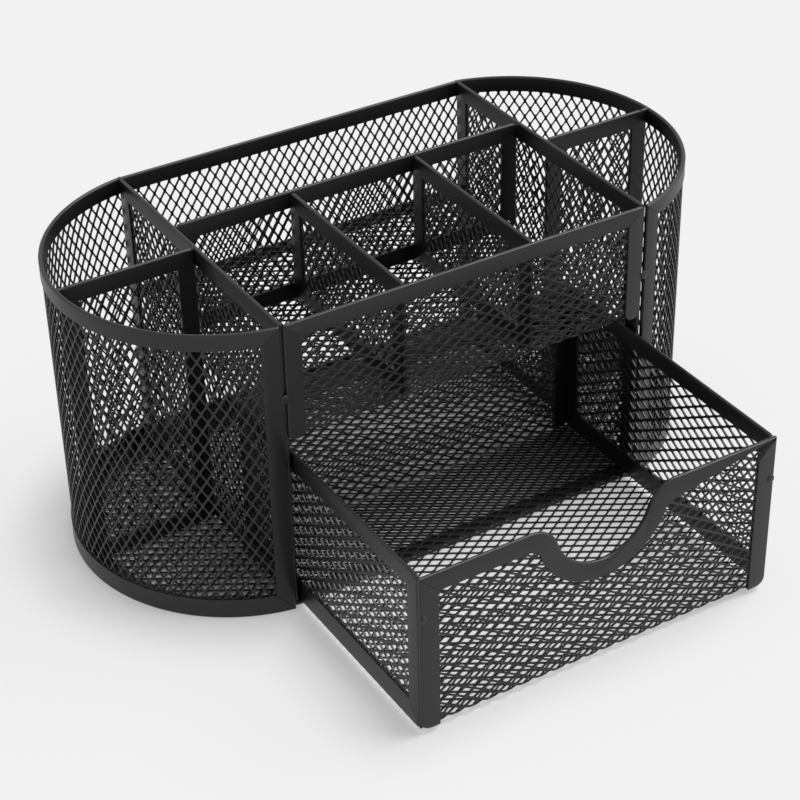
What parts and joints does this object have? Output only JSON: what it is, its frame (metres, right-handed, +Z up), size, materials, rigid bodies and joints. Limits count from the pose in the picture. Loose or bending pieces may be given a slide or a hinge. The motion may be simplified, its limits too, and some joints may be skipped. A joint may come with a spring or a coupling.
{
  "type": "pen stand with drawer",
  "caption": "Round-ended desktop pen stand of black expanded steel net with edge strips, open compartments on top and a notched drawer that slides out of the front.",
  "frame": {"origin": "on the table, in the middle of the drawer bay's width and of the body's depth", "axes": "+X along the front to the viewer's right, +Y to the back, +Z up"},
  "size_m": [0.22, 0.1814, 0.104],
  "materials": {
    "coated_net": "satin black powder coat on expanded steel net",
    "coated_strip": "satin black powder coat on folded steel strip",
    "coated_weld": "satin black powder coat over a spot weld"
  },
  "bodies": {
    "case": {"wall_mesh": "coated_net", "wall_top_rim": "coated_strip", "wall_foot_rim": "coated_strip", "left_post_strip": "coated_strip", "right_post_strip": "coated_strip", "base_mesh": "coated_net", "base_edge_strip": "coated_strip", "left_cross_divider_mesh": "coated_net", "left_cross_divider_frame": "coated_strip", "right_cross_divider_mesh": "coated_net", "right_cross_divider_frame": "coated_strip", "left_short_divider_mesh": "coated_net", "left_short_divider_frame": "coated_strip", "right_short_divider_mesh": "coated_net", "right_short_divider_frame": "coated_strip", "left_end_divider_mesh": "coated_net", "left_end_divider_frame": "coated_strip", "right_end_divider_mesh": "coated_net", "right_end_divider_frame": "coated_strip", "long_divider_mesh": "coated_net", "long_divider_frame": "coated_strip", "front_panel_mesh": "coated_net", "shelf_mesh": "coated_net", "front_top_strip": "coated_strip", "front_left_strip": "coated_strip", "front_right_strip": "coated_strip", "shelf_back_strip": "coated_strip", "case_weld_spots": "coated_weld"},
    "drawer": {"drawer_sheet_mesh": "coated_net", "drawer_front_top_strip": "coated_strip", "drawer_front_left_strip": "coated_strip", "drawer_front_right_strip": "coated_strip", "drawer_back_top_strip": "coated_strip", "drawer_back_left_strip": "coated_strip", "drawer_back_right_strip": "coated_strip", "drawer_left_side_mesh": "coated_net", "drawer_left_side_frame": "coated_strip", "drawer_right_side_mesh": "coated_net", "drawer_right_side_frame": "coated_strip", "drawer_weld_spots": "coated_weld"}
  },
  "joints": [
    {"name": "drawer_slide", "type": "slide", "parent": "case", "child": "drawer", "axis": [0, -1, 0], "range_m": [-0.071, 0.016]}
  ]
}
